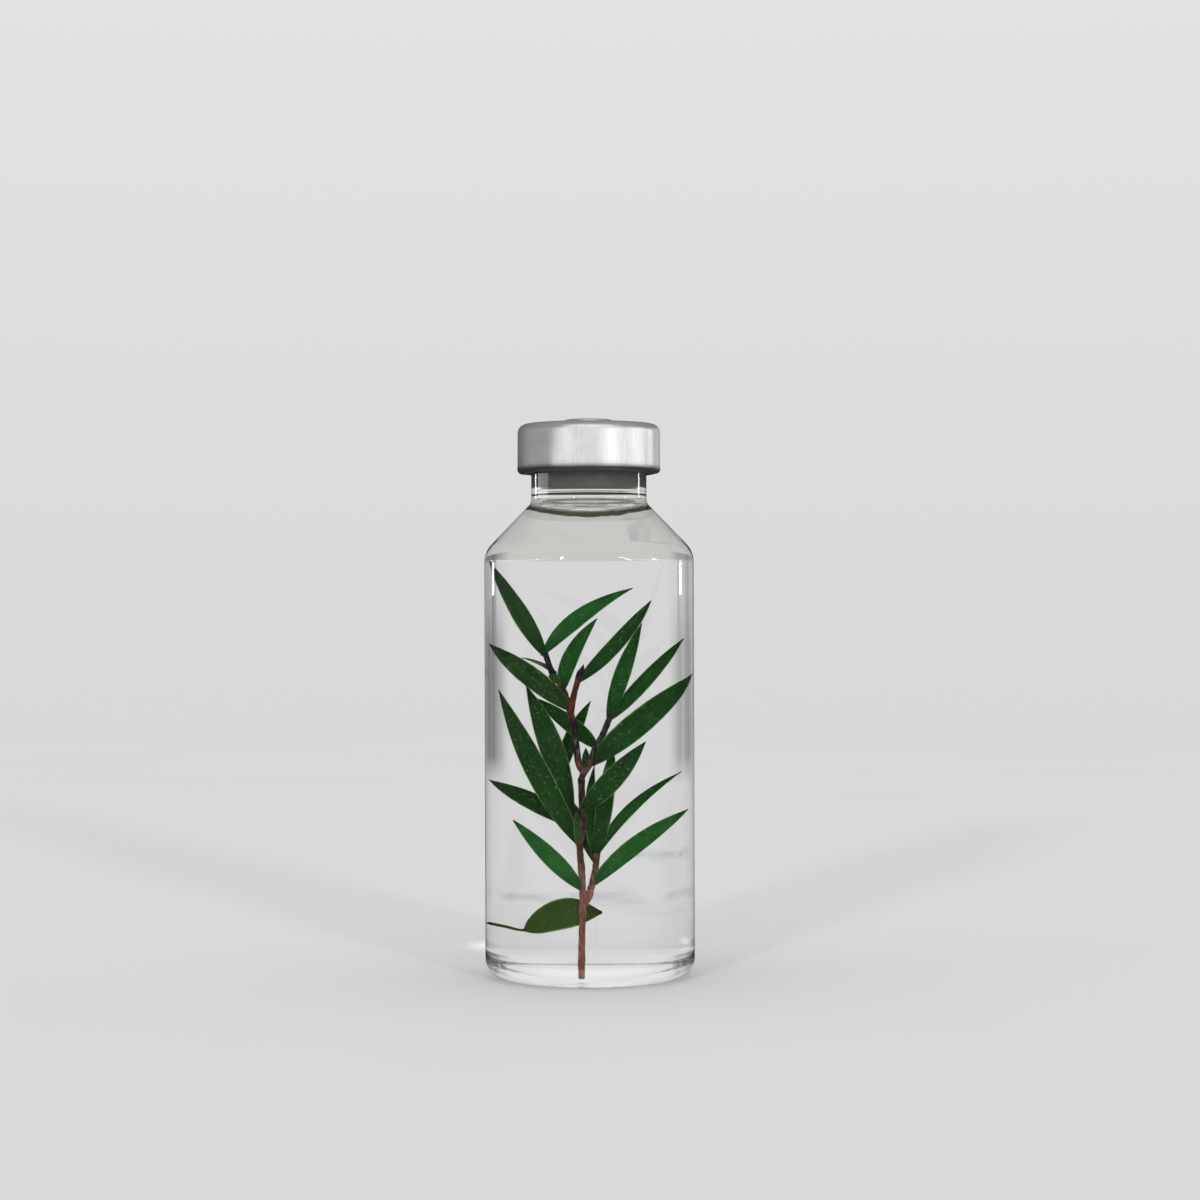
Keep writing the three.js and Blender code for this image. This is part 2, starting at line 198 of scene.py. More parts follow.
# Leaves: root, tip, broadest width, bow to the right, arch to the front, roll in degrees
LEAVES = [
    ((-4.6, 1.7, 45.9), (-10.7, 2, 59.4), 2.2, 0, 0.4, 20),
    ((-4.6, 1.7, 46.3), (4.4, 3, 55.6), 2.1, -1, 0.4, -15),
    ((-2.7, 1.2, 41), (0.9, -3, 51.3), 1.9, -1, 0.5, 10),
    ((-1.2, 0.4, 42.4), (6.4, 2, 53.8), 2, 0.5, 0.4, -20),
    ((2.1, -0.6, 36.9), (6, -2.5, 50.6), 1.9, -0.3, 0.3, 15),
    ((2.2, -0.6, 37), (10.2, 1.5, 48.4), 2, 0.1, 0.5, -15),
    ((-0.1, -0.4, 30.4), (12, 1, 43.3), 3.3, -0.2, 0.6, 10),
    ((-2.1, 0.9, 38.4), (-11.2, 1.2, 47.7), 2.7, 0.3, 0.4, -10),
    ((-3.9, 1.6, 43.8), (-6.6, 4.5, 45.7), 1.2, 0.2, 0, 60),
    ((-3.6, 1.5, 43.2), (-2.9, -0.6, 41.6), 1, 0.3, 0.6, 0),
    ((0.7, -0.5, 33), (-5.6, 3, 40), 2.1, 0.2, -0.8, -10),
    ((-2.1, -0.9, 23.4), (-6.6, 2, 41.8), 2.8, 0.3, 0.3, 15),
    ((-1.2, -2.2, 19.4), (-10.6, -1.5, 41.2), 2.9, -0.3, 0.9, -5),
    ((-3, 0.1, 28.8), (-3.6, 1, 34.2), 1.1, -0.1, 0, 20),
    ((-3, 0.1, 28.9), (0.1, 3, 39.5), 1.7, -0.4, -0.4, -20),
    ((-0.4, -0.4, 29.8), (-0.4, 1.2, 32.9), 0.9, 0, 0, 0),
    ((-0.9, -1.2, 24), (6.6, -4, 33.9), 2.7, 0, 0.5, 10),
    ((0.8, -2.2, 17.7), (2.5, 0.5, 33.3), 2, 0.1, -0.3, -15),
    ((0.7, -2.3, 17.2), (0.5, 2, 30.4), 1.3, -0.6, -0.4, 25),
    ((0.6, -2.4, 16.8), (-2.9, 3, 26.9), 1.7, 0.2, -0.4, -15),
    ((-1.2, -2.3, 19.6), (-1.4, -3.1, 24.2), 0.9, -0.2, 0.2, 40),
    ((-0.9, -1.7, 21.6), (-11, 2, 28.2), 2.5, 0.2, -0.5, 10),
    ((-0.8, -3.3, 13), (-9, -3, 22.8), 2.3, 0.1, 0.5, 10),
    ((0.8, -2.2, 17.6), (9.7, 2, 29.3), 1.4, -1.1, 0.3, -20),
    ((0.2, -3, 13.5), (11.4, 0, 24), 2.3, -0.8, 0.5, 10),
]
LOW_LEAF = ([
    (1.4, -3.9, 9.9), (-0.1, -3.7, 9.9), (-1.3, -3.3, 9.9), (-2.7, -1.8, 9.6), (-4.2, 0.4, 8.7),
    (-5.6, 2.6, 7.4), (-6.6, 4.2, 6.6), (-7.9, 5.8, 6.9), (-8.7, 7, 7.1),
], 4.3)
# How vivid each leaf is, the low leaf last: 0 olive, 0.3 dull, 0.6 deep green, 1 fresh green
TONES = (
    0.3, 0.85, 0.7, 0.5, 0.6, 0.62, 0.5, 0.28, 0.35, 0.1, 0.55, 0.45, 0.4, 0.8, 0.55, 0.75,
    0.42, 0.5, 0.62, 0.2, 0.08, 0.35, 0.95, 0.55, 0.9, 0.0,
)
# The greens that those tones run through, from olive to fresh, and the leaf's other colours
LEAF_GREENS = (
    (0.0, (0.05, 0.098, 0.016)), (0.28, (0.018, 0.05, 0.014)), (0.45, (0.01, 0.052, 0.009)),
    (0.65, (0.012, 0.075, 0.012)), (1.0, (0.02, 0.135, 0.026)),
)
# The rim colour is a painted highlight
VEIN_GREEN, RIB_GREEN, RIM_HIGHLIGHT_GREEN = (0.006, 0.03, 0.006), (0.08, 0.17, 0.05), (0.2, 0.34, 0.1)
SPECK_GREEN, FOOT_GREEN, TIP_BROWN = (0.2, 0.3, 0.12), (0.008, 0.02, 0.008), (0.014, 0.01, 0.008)
BLOTCH_SHARE = 0.9
LOW_LEAF_BLADE = 0.75
LOW_LEAF_POWER = 0.85
LOW_LEAF_TAIL = 0.2
LEAF_SEED = 7
LEAF_STEPS = 30
LEAF_COLUMNS = 12
LEAF_THICKNESS = 0.34
LEAF_EDGE = 0.07
LEAF_CUP = 0.12
LEAF_CUP_POWER = 1.4
LEAF_CURL = 12
LEAF_WAVE = 0.035
LEAF_WAVES = 9
LENS_SHIFT = 0.9
LENS_POWER = 0.9
RIB_WIDTH = 0.11
RIB_GROOVE = 0.05
RIB_KEEL = 0.07
PETIOLE_WIDTH = 0.45
TIP_WIDTH = 0.12
TIP_THICKNESS = 0.55
TIP_THINS_FROM = 0.12
ROOT_SINK = 0.5
TANGENT_STEP = 0.01

# Camera and stage: places in metres, focal length in millimetres, roll in degrees
CAMERA_AT = (0.00155, -0.39, 0.0525)
CAMERA_FOCAL = 81.6
CAMERA_SHIFT = 10 / 1200
CAMERA_ROLL = 0.16
CAMERA_SEES = (0.01, 10)
GLASS_BOUNCES = 32
FLOOR_FLAT_RADIUS = 0.9
COVE_RADIUS = 0.5
WALL_TOP = 1.1
PANEL_DISTANCE = 0.43
PANEL_HEIGHT = 0.08
LAMPS_ROUND = (0, 0, 0.06)
GLINT_TINT = (0.92, 1, 0.9)

# Panels behind the vial: side, first and last angle from +Y, and greys across its lower and
# its upper part as (place, grey)
PANELS = (
    (
        "left", -25, -75,
        [(0.0, 0.69), (0.1, 0.52), (0.15, 0.4), (0.2, 0.38), (0.26, 0.47), (0.3, 0.37),
         (0.35, 0.31), (0.43, 0.28), (0.5, 0.36), (0.6, 0.5), (0.75, 0.62), (1.0, 0.65)],
        [(0.0, 0.69), (0.13, 0.66), (0.15, 0.42), (0.19, 0.6), (0.26, 0.6), (0.3, 0.5),
         (0.36, 0.46), (0.41, 0.3), (0.46, 0.58), (0.6, 0.62), (1.0, 0.66)],
    ),
    (
        "right", 25, 75,
        [(0.0, 0.69), (0.06, 0.6), (0.12, 0.45), (0.2, 0.34), (0.28, 0.2), (0.33, 0.14),
         (0.37, 0.24), (0.43, 0.13), (0.51, 0.13), (0.6, 0.22), (0.8, 0.5), (1.0, 0.65)],
        [(0.0, 0.69), (0.2, 0.66), (0.24, 0.4), (0.29, 0.3), (0.32, 0.14), (0.36, 0.5),
         (0.43, 0.42), (0.52, 0.46), (0.6, 0.44), (0.72, 0.66), (1.0, 0.68)],
    ),
)
# Their lower edge in millimetres
PANEL_FOOT = 0.5
PANEL_STEPS = 16

# Grey bands that only the glass shows: name, nearer and farther radius in millimetres, and the angles
FLOOR_BANDS = (("floor_band_near", 98, 124, -75, 75), ("floor_band_far", 176, 210, -50, -10))
FLOOR_BAND_HEIGHT = 0.2
FLOOR_BAND_STEPS = 24
FLOOR_BAND_TONE = (0.5, 0.51, 0.53)

# On the floor, in millimetres: a ring of its mesh, and the painted spot of light behind the vial
FLOOR_RING = 30
SPOT_CENTRE = (-15.5, 36)
SPOT_REACH = (5, 8)

# Lamps a metre away: name, azimuth from the front to the right, elevation, width and height in
# metres, and glow. The first light only the cap, the others only the vial.
CAP_LAMPS = (
    ("cap_dim_left", -100, 6, (1.0, 0.5), 0.2),
    ("cap_left", -42, 5, (0.6, 0.5), 1.15),
    ("cap_front", -2, 6, (0.72, 0.5), 1.0),
    ("cap_right", 40, 4, (0.74, 0.5), 1.4),
    ("cap_side", 84, 6, (0.7, 0.5), 1.6),
    ("cap_edge", 118, 6, (0.1, 0.16), 6),
    ("cap_rear", 146, 6, (0.4, 0.4), 0.6),
    ("cap_top", 5, 42, (1.4, 0.6), 1.15),
    ("cap_spot_left", -31, -3, (0.1, 0.12), 6),
    ("cap_spot_right", 37, -3, (0.1, 0.16), 6),
)
GLINTS = (
    ("glint_left", -29.5, 12, (0.06, 0.16), 25),
    ("glint_far_left", -58, 7, (0.06, 0.06), 6),
    ("glint_right", 76, 7, (0.12, 0.07), 20),
    ("veil_left", -105, 3.4, (0.6, 0.035), 2.2),
)
TINTED_STRIPS = (
    ("strip_right", 119, 0.75, (0.09, 0.026), 10),
    ("strip_left", -130, 0.75, (0.09, 0.026), 8),
    ("strip_neck_right", 119, 3.3, (0.09, 0.013), 10),
    ("strip_neck_left", -133, 3.3, (0.09, 0.013), 10),
)
STREAK = ("streak_right", 40, 10, (0.3, 0.04), 16)
STREAK_ROLL = -38
# Suns: name, azimuth, elevation, spread and strength
SUNS = (("front_right", 25.5, 11, 6, 1.0), ("front_left", -21, 15, 6, 0.85))
# The room's light: axis, where a fade starts and ends along it, and how much it adds
WORLD_FADES = (("Z", 0.3, 0.9, 0.8), ("Y", 0.3, 1.0, 0.45), ("Z", -0.1, -0.25, 0.65))
WORLD_LEAST = 0.03


def grey(value):
    return (value, value, value)


def arc(centre, radius, start, end, steps=ARC_STEPS):
    """Points (radius, height) of an arc between two angles in degrees."""
    points = []
    for i in range(steps + 1):
        angle = math.radians(start + (end - start) * i / steps)
        points.append((centre[0] + radius * math.cos(angle), centre[1] + radius * math.sin(angle)))
    return points


def make_object(name, vertices, faces, materials, slots=None):
    """A smooth mesh object from points in millimetres, with one material slot index for each face."""
    mesh = bpy.data.meshes.new(name)
    mesh.from_pydata([Vector(v) * MM for v in vertices], [], faces)
    for material in materials:
        mesh.materials.append(material)
    if slots:
        mesh.polygons.foreach_set("material_index", slots)
    mesh.polygons.foreach_set("use_smooth", [True] * len(faces))
    mesh.update()
    made = bpy.data.objects.new(name, mesh)
    bpy.context.scene.collection.objects.link(made)
    return made


def revolve(name, profile, materials, slot_of=None, shape=None, segments=SEGMENTS):
    """A turned mesh. slot_of(i) gives the slot of band i, and shape(r, z, angle) moves a point."""
    vertices, rings = [], []
    for r, z in profile:
        if r < ON_AXIS:
            rings.append([len(vertices)])
            vertices.append((0, 0, z))
            continue
        rings.append(range(len(vertices), len(vertices) + segments))
        for k in range(segments):
            angle = 2 * math.pi * k / segments
            radius, height = shape(r, z, angle) if shape else (r, z)
            vertices.append((radius * math.cos(angle), radius * math.sin(angle), height))
    faces, slots = [], []
    for i, (low, high) in enumerate(zip(rings, rings[1:])):
        slot = slot_of(i) if slot_of else 0
        for k in range(segments):
            n = (k + 1) % segments
            if len(low) == 1:
                faces.append((low[0], high[n], high[k]))
            elif len(high) == 1:
                faces.append((low[k], low[n], high[0]))
            else:
                faces.append((low[k], low[n], high[n], high[k]))
            slots.append(slot)
    return make_object(name, vertices, faces, materials, slots)


def held(first, last):
    """Two points close to the ends of a straight part, so that it is shaded straight."""
    share = HOLD / math.dist(first, last)
    return [
        tuple(a + (b - a) * at for a, b in zip(first, last)) for at in (share, 1 - share)
    ]


def vial_outside():
    """From the middle of the base, over heel, shoulder and neck, to the top of the lip."""
    ring_inner, ring_outer = STANDING_RING
    shares = [i / PUSH_UP_STEPS for i in range(PUSH_UP_STEPS)]
    dome = [(ring_inner * share, PUSH_UP * (1 - share**3)) for share in shares]
    heel = arc((ring_outer, HEEL_RADIUS), HEEL_RADIUS, -90, 0)
    shoulder = arc((BODY_RADIUS - SHOULDER_RADIUS, SHOULDER_START), SHOULDER_RADIUS, 0, SHOULDER_TURN)
    fillet = arc((NECK_RADIUS + NECK_FILLET, NECK_START), NECK_FILLET, 180 + SHOULDER_TURN, 180)
    low, high = LIP_BOTTOM + LIP_ROUND, LIP_TOP - LIP_ROUND
    under_lip = arc(
        (NECK_RADIUS + LIP_ROUND, LIP_BOTTOM - LIP_ROUND), LIP_ROUND, 180, 90, SMALL_ARC_STEPS
    )
    return [
        *dome,
        (ring_inner, 0),
        *heel,
        *held(heel[-1], shoulder[0]),
        *shoulder,
        *held(shoulder[-1], fillet[0]),
        *fillet,
        *held(fillet[-1], under_lip[0]),
        *under_lip,
        *arc((LIP_RADIUS - LIP_ROUND, low), LIP_ROUND, -90, 0, SMALL_ARC_STEPS),
        *arc((LIP_RADIUS - LIP_ROUND, high), LIP_ROUND, 0, 90, SMALL_ARC_STEPS),
    ]


def vial_inside(inset):
    """From the bore down the inner wall to the middle of the floor, moved in by inset."""
    inner = BODY_RADIUS - WALL
    bore_centre = (BORE_RADIUS + BORE_FILLET, BORE_END)
    shoulder_centre = (BODY_RADIUS - SHOULDER_RADIUS, SHOULDER_START)
    heel_centre = (inner - INNER_HEEL_RADIUS, FLOOR + INNER_HEEL_RADIUS)
    bore = arc(bore_centre, BORE_FILLET + inset, 180, 180 + INNER_TURN)
    shoulder = arc(shoulder_centre, SHOULDER_RADIUS - WALL - inset, INNER_TURN, 0)
    heel = arc(heel_centre, INNER_HEEL_RADIUS - inset, 0, -90)
    return [
        *bore,
        *held(bore[-1], shoulder[0]),
        *shoulder,
        *held(shoulder[-1], heel[0]),
        *heel,
        *held(heel[-1], (0, FLOOR + inset)),
        (0, FLOOR + inset),
    ]


def bore_ridge():
    """A faint ridge inside the neck, just below the stopper, from its upper to its lower end."""
    points = []
    for i in range(RIDGE_STEPS + 1):
        share = 2 * i / RIDGE_STEPS - 1
        bulge = RIDGE_DEPTH * (1 + math.cos(math.pi * share)) / 2
        points.append((BORE_RADIUS - bulge, RIDGE_HEIGHT - RIDGE_RADIUS * share))
    return points


def split_at(profile, height):
    """The falling profile in two, above and below height, and the point between them."""
    above = [p for p in profile if p[1] > height]
    below = [p for p in profile if p[1] <= height]
    (r1, z1), (r2, z2) = above[-1], below[0]
    share = (z1 - height) / (z1 - z2)
    return above, (r1 + (r2 - r1) * share, height), below


def build_vial(materials):
    """One closed turned body. The materials are clear glass, glass with liquid behind it, and
    the glass under the base, of the shoulder and of the heel."""
    contact = LIQUID_LEVEL + MENISCUS_RISE
    above, edge, below = split_at(vial_inside(0), contact)
    outside = vial_outside()
    mouth_round = (BORE_RADIUS + LIP_ROUND, LIP_TOP - LIP_ROUND)
    mouth = [
        *arc(mouth_round, LIP_ROUND, 90, 180, SMALL_ARC_STEPS),
        (BORE_RADIUS, LIP_TOP - LIP_ROUND - HOLD),
        (BORE_RADIUS, RIDGE_HEIGHT + RIDGE_RADIUS + HOLD),
        *bore_ridge(),
        (BORE_RADIUS, RIDGE_HEIGHT - RIDGE_RADIUS - HOLD),
        (BORE_RADIUS, BORE_END + HOLD),
    ]
    profile = [*outside, *mouth, *above, edge, *below]
    first_wet = len(profile) - len(below) - 1

    def slot_of(i):
        if i < PUSH_UP_STEPS:
            return 2
        if i < len(outside) and profile[i][1] < HEEL_RADIUS:
            return 4
        if i < len(outside) and SHOULDER_START + SHOULDER_SHADE_MARGIN < profile[i][1] < NECK_START:
            return 3
        return int(i >= first_wet)

    made = revolve("vial", profile, materials, slot_of)
    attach(made, BODY)
    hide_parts("glass_vial")
    return made


def build_liquid(materials):
    """The materials are the flat surface, the wetted side and the steep edge. The side only bounds
    the liquid: the glass there already bends light into it."""
    contact = LIQUID_LEVEL + MENISCUS_RISE
    edge, below = split_at(vial_inside(LIQUID_INSET), contact)[1:]
    curve = []
    for inward in MENISCUS_PLACES:
        rise = MENISCUS_RISE * math.exp(-inward / MENISCUS_FALL)
        curve.append((edge[0] - inward, LIQUID_LEVEL + rise))
    profile = [*reversed(below), *curve, (0, LIQUID_LEVEL)]
    steep = len(below) + MENISCUS_STEEP

    def slot_of(i):
        if i < len(below):
            return 1
        return 2 if i < steep else 0

    made = revolve("liquid_body", profile, materials, slot_of)
    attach(made, BODY)
    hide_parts("liquid")
    return made


def build_stopper(rubber):
    """A plug squeezed into the neck, hollowed a little from below, and a flange on the lip."""
    plug = BORE_RADIUS + STOPPER_SQUEEZE
    roof = PLUG_BOTTOM + PLUG_HOLLOW_DEPTH
    seat = LIP_TOP + FLANGE_GAP
    flange = STOPPER_FLANGE_RADIUS - LIP_ROUND
    hollow_round = (PLUG_HOLLOW_RADIUS, PLUG_BOTTOM + PLUG_HOLLOW_ROUND)
    plug_round = (plug - PLUG_ROUND, PLUG_BOTTOM + PLUG_ROUND)
    made = revolve("stopper", [
        (0, roof),
        (PLUG_HOLLOW_RADIUS - PLUG_HOLLOW_DEPTH, roof),
        *arc(hollow_round, PLUG_HOLLOW_ROUND, 180, 270, SMALL_ARC_STEPS),
        *arc(plug_round, PLUG_ROUND, -90, 0, SMALL_ARC_STEPS),
        (plug, LIP_TOP - LIP_ROUND),
        (BORE_RADIUS + LIP_ROUND, seat),
        *arc((flange, seat + LIP_ROUND), LIP_ROUND, -90, 0, SMALL_ARC_STEPS),
        *arc((flange, STOPPER_TOP - LIP_ROUND), LIP_ROUND, 0, 90, SMALL_ARC_STEPS),
        (0, STOPPER_TOP),
    ], [rubber])
    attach(made, BODY)
    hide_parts("rubber_stopper")
    return made


def crimp_shape(r, z, angle):
    """The rolled edge is a little wavy, and the skirt carries faint dents."""
    near_edge = max(0, 1 - (z - CAP_BOTTOM) / CRIMP_WAVE_REACH)
    wave = math.sin(CRIMP_WAVES * angle + 1.3 * math.sin(3 * angle))
    place = (DENTS_ROUND * math.cos(angle), DENTS_ROUND * math.sin(angle), z * DENTS_UP)
    dent = noise.noise(place) * DENT_DEPTH
    skirt = 1 if r > CAP_RADIUS - CAP_CORNER else 0
    drop = CRIMP_WAVE_DEPTH * near_edge * math.sin(5 * angle + 0.7)
    return r + skirt * dent + CRIMP_WAVE_DEPTH * near_edge * wave, z + drop


def cap_button():
    """The raised middle of the cap, from its foot to the axis."""
    edge_height = CAP_TOP + BUTTON_HEIGHT * BUTTON_EDGE
    edge_centre = (BUTTON_RADIUS - BUTTON_ROUND, edge_height)
    return [
        *[(BUTTON_RADIUS + out, CAP_TOP + up) for out, up in BUTTON_FOOT],
        (BUTTON_RADIUS, edge_height),
        *arc(edge_centre, BUTTON_ROUND, 0, 75, 5),
        *[(r, CAP_TOP + BUTTON_HEIGHT * (1 - BUTTON_DROOP * r * r)) for r in BUTTON_RINGS],
    ]


def build_cap(aluminium):
    """A cup of thin sheet, from the inside of its top, round its rolled edge, to the button."""
    skirt = CAP_RADIUS + CAP_FLARE
    crimp = (skirt - CRIMP_RADIUS, CAP_BOTTOM + CRIMP_RADIUS)
    corner = (CAP_RADIUS - CAP_CORNER, CAP_TOP - CAP_CORNER)
    walls = [CAP_TOP - CAP_CORNER - SKIRT_ROW * i for i in range(1, 5)]
    score = [(SCORE_RADIUS + out, CAP_TOP - SCORE_DEPTH * deep) for out, deep in SCORE_SECTION]
    made = revolve("cap", [
        (0, CAP_TOP - CAP_WALL),
        *arc(corner, CAP_CORNER - CAP_WALL, 90, 0),
        *[(CAP_RADIUS - CAP_WALL, z) for z in walls],
        *arc(crimp, CRIMP_RADIUS - CAP_WALL, 0, -90, CRIMP_STEPS),
        (CRIMP_LIP, CAP_BOTTOM + CAP_WALL),
        (CRIMP_LIP - CRIMP_LIP_ROUND, CAP_BOTTOM + CAP_WALL / 2),
        (CRIMP_LIP, CAP_BOTTOM),
        *arc(crimp, CRIMP_RADIUS, -90, 0),
        *[(CAP_RADIUS, z) for z in reversed(walls)],
        *arc(corner, CAP_CORNER, 0, 90),
        (CROWN_RING, CAP_TOP),
        *score,
        *cap_button(),
    ], [aluminium], shape=crimp_shape)
    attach(made, BODY)
    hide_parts("crimp_cap")
    return made


def spline_point(points, t):
    """A point of the smooth line through points, for t from 0 to 1."""
    spans = len(points) - 1
    place = min(t * spans, spans - 1e-6)
    i = int(place)
    u = place - i
    p1, p2 = Vector(points[i]), Vector(points[i + 1])
    p0 = Vector(points[i - 1]) if i else 2 * p1 - p2
    p3 = Vector(points[i + 2]) if i + 2 <= spans else 2 * p2 - p1
    pull = (2 * p0 - 5 * p1 + 4 * p2 - p3) * u * u + (3 * p1 - p0 - 3 * p2 + p3) * u**3
    return (2 * p1 + (p2 - p0) * u + pull) / 2


def tangent(curve, t):
    ahead, behind = min(t + TANGENT_STEP, 1), max(t - TANGENT_STEP, 0)
    return (curve(ahead) - curve(behind)).normalized()


def add_grid(vertices, faces, rings):
    """Skins a list of equal rings of points, with one face over each end."""
    start, sides = len(vertices), len(rings[0])
    for ring in rings:
        vertices.extend(ring)
    for i in range(len(rings) - 1):
        for k in range(sides):
            n = (k + 1) % sides
            a, b = start + i * sides, start + (i + 1) * sides
            faces.append((a + k, a + n, b + n, b + k))
    faces.append(tuple(start + k for k in reversed(range(sides))))
    last = start + (len(rings) - 1) * sides
    faces.append(tuple(last + k for k in range(sides)))


def stem_rings(radii, line, seed):
    """Rings round a woody line, with knots where leaves grew and an uneven bark."""
    length = sum((Vector(b) - Vector(a)).length for a, b in zip(line, line[1:]))
    steps = int(length / STEM_STEP)
    pointed = line[-1] in BUD_TIPS
    rings = []
    for i in range(steps + 1):
        t = i / steps
        centre = spline_point(line, t)
        along = tangent(lambda u: spline_point(line, u), t)
        across = (Vector((1, 0, 0)) - along * along.x).normalized()
        back = along.cross(across)
        knots = max(0, math.sin(t * length * KNOT_TURN + seed))
        swell = KNOT_SWELL * knots**KNOT_SHARPNESS
        radius = radii[0] + (radii[1] - radii[0]) * t + swell
        if pointed:
            left = (1 - t) * length
            radius *= math.sin(math.pi / 2 * min(1, left / BUD_LENGTH + BUD_POINT)) + bud_swell(left)
        ring = []
        for k in range(STEM_SIDES):
            angle = 2 * math.pi * k / STEM_SIDES
            side = across * math.cos(angle) + back * math.sin(angle)
            rough = noise.noise(centre * 1.6 + side * 1.2 + Vector((seed, 0, 0)))
            ring.append(centre + side * (radius + BARK_ROUGHNESS * rough))
        rings.append(ring)
    return rings


def bud_swell(left):
    """A bud is fullest a little below its point."""
    return BUD_SWELL * math.exp(-((left - BUD_FULLEST) / BUD_SPREAD) ** 2)


def build_stems(bark):
    vertices, faces = [], []
    for seed, (radii, line) in enumerate(STEMS.values()):
        add_grid(vertices, faces, stem_rings(radii, line, seed))
    made = make_object("sprig_stems", vertices, faces, [bark])
    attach(made, BODY)
    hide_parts("tea_tree_sprig")
    return made


def half_width(t, width):
    """A lens a little broader towards the root, never narrower than its stalk."""
    shifted = t**LENS_SHIFT
    lens = (4 * shifted * (1 - shifted)) ** LENS_POWER if 0 < t < 1 else 0
    least = PETIOLE_WIDTH + (TIP_WIDTH - PETIOLE_WIDTH) * t
    return max(width * lens, least) / 2


def low_half_width(t, width):
    """A lens over the first part of the line, and a thin tail."""
    share = min(t / LOW_LEAF_BLADE, 1)
    blade = width * math.sin(math.pi * share) ** LOW_LEAF_POWER
    return max(blade, TIP_WIDTH + LOW_LEAF_TAIL) / 2


def half_thickness(t, u):
    """Half a blade's thickness at t along it and u across it: thin edges and a thin tip."""
    thick = (LEAF_EDGE + (LEAF_THICKNESS - LEAF_EDGE) * math.sqrt(max(0, 1 - u * u))) / 2
    if t > 0.5:
        towards_tip = math.sin(math.pi * min(1, t + TIP_THINS_FROM))
        thick *= TIP_THICKNESS + (1 - TIP_THICKNESS) * towards_tip
    return thick


def blade_rings(curve, width, facing, draw, half_at=half_width):
    """Rings round a blade: a thin lens section, creased along the midrib, wavy at its edges."""
    phase = draw.uniform(0, 6)
    curl = draw.uniform(-LEAF_CURL, LEAF_CURL)
    rings = []
    for i in range(LEAF_STEPS + 1):
        t = i / LEAF_STEPS
        along = tangent(curve, t)
        side = facing(t).cross(along).normalized()
        side = Quaternion(along, math.radians(curl * t)) @ side
        up = along.cross(side)
        centre = curve(t)
        half = half_at(t, width)
        upper, lower = [], []
        for c in range(LEAF_COLUMNS + 1):
            u = 1 - 2 * c / LEAF_COLUMNS
            lift = LEAF_CUP * half * abs(u) ** LEAF_CUP_POWER
            lift += LEAF_WAVE * width * u * math.sin(LEAF_WAVES * t + phase) * abs(u)
            rib = math.exp(-((u * half / RIB_WIDTH) ** 2))
            thick = half_thickness(t, u)
            middle = centre + side * (u * half) + up * lift
            upper.append(middle + up * (thick - RIB_GROOVE * rib))
            lower.append(middle - up * (thick + RIB_KEEL * rib * (1 - t)))
        rings.append([*upper, *reversed(lower)])
    return rings


def leaf_curve(root, tip, bow, arch):
    start, end = Vector(root), Vector(tip)
    chord = (end - start).normalized()
    start = start - chord * ROOT_SINK
    side = chord.cross(Vector((0, -1, 0))).normalized()
    front = side.cross(chord)
    middle = (start + end) / 2 + side * (2 * bow) + front * (2 * arch)

    def curve(t):
        return start * (1 - t) ** 2 + middle * (2 * t * (1 - t)) + end * t**2

    return curve, front, chord


def low_leaf_curve(t):
    return spline_point(LOW_LEAF[0], t)


def low_leaf_facing(t):
    return Vector((0, 0, 1)).cross(tangent(low_leaf_curve, t))


def all_blades():
    """The rings of every leaf, in the order of LEAVES, the low leaf last."""
    draw = random.Random(LEAF_SEED)
    blades = []
    for root, tip, width, bow, arch, roll in LEAVES:
        curve, front, chord = leaf_curve(root, tip, bow, arch)
        facing = Quaternion(chord, math.radians(roll)) @ front
        blades.append(blade_rings(curve, width, lambda t, f=facing: f, draw))
    low = blade_rings(low_leaf_curve, LOW_LEAF[1], low_leaf_facing, draw, low_half_width)
    return [*blades, low]


def build_leaves(leaf_green):
    """All blades in one mesh. Its UV map holds place across and along each blade, and the
    attribute tone holds a value from 0 to 1 for each leaf."""
    vertices, faces, across, along, tones = [], [], [], [], []
    for tone, rings in zip(TONES, all_blades()):
        sides = len(rings[0])
        add_grid(vertices, faces, rings)
        for i in range(len(rings)):
            for k in range(sides):
                column = k if k <= LEAF_COLUMNS else 2 * LEAF_COLUMNS + 1 - k
                across.append(column / LEAF_COLUMNS)
                along.append(i / LEAF_STEPS)
                tones.append(tone)
    made = make_object("sprig_leaves", vertices, faces, [leaf_green])
    mesh = made.data
    uv = mesh.uv_layers.new(name="UVMap")
    for loop in mesh.loops:
        v = loop.vertex_index
        uv.data[loop.index].uv = (across[v], along[v])
    attribute = mesh.attributes.new("tone", "FLOAT", "POINT")
    attribute.data.foreach_set("value", tones)
    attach(made, BODY)
    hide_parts("tea_tree_sprig")
    return made


